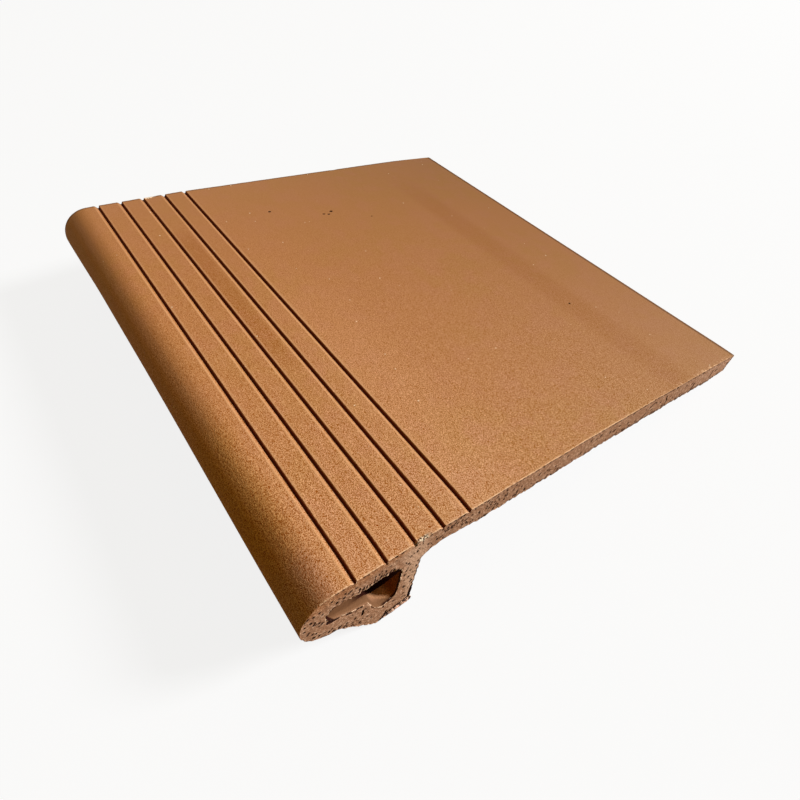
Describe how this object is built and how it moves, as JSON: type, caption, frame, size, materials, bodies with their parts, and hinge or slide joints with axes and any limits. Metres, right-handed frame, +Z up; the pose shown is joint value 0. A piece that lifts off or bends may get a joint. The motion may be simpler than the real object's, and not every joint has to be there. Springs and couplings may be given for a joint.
{
  "type": "stair tread",
  "caption": "Flat fired-clay stair tread with a hollow rounded nosing along its front edge and anti-slip grooves beside it.",
  "frame": {"origin": "centre of the footprint, on the floor it rests on", "axes": "+X along the nosing, +Y from the nosing towards the rear edge, +Z up. The tread lies tipped back on its foot and its rear bottom edge, so its plate falls towards +Y"},
  "size_m": [0.3, 0.292, 0.0576],
  "materials": {
    "fired_clay": "matte, unglazed, sandy"
  },
  "bodies": {
    "root": {"stair_tread": "fired_clay"}
  },
  "joints": []
}
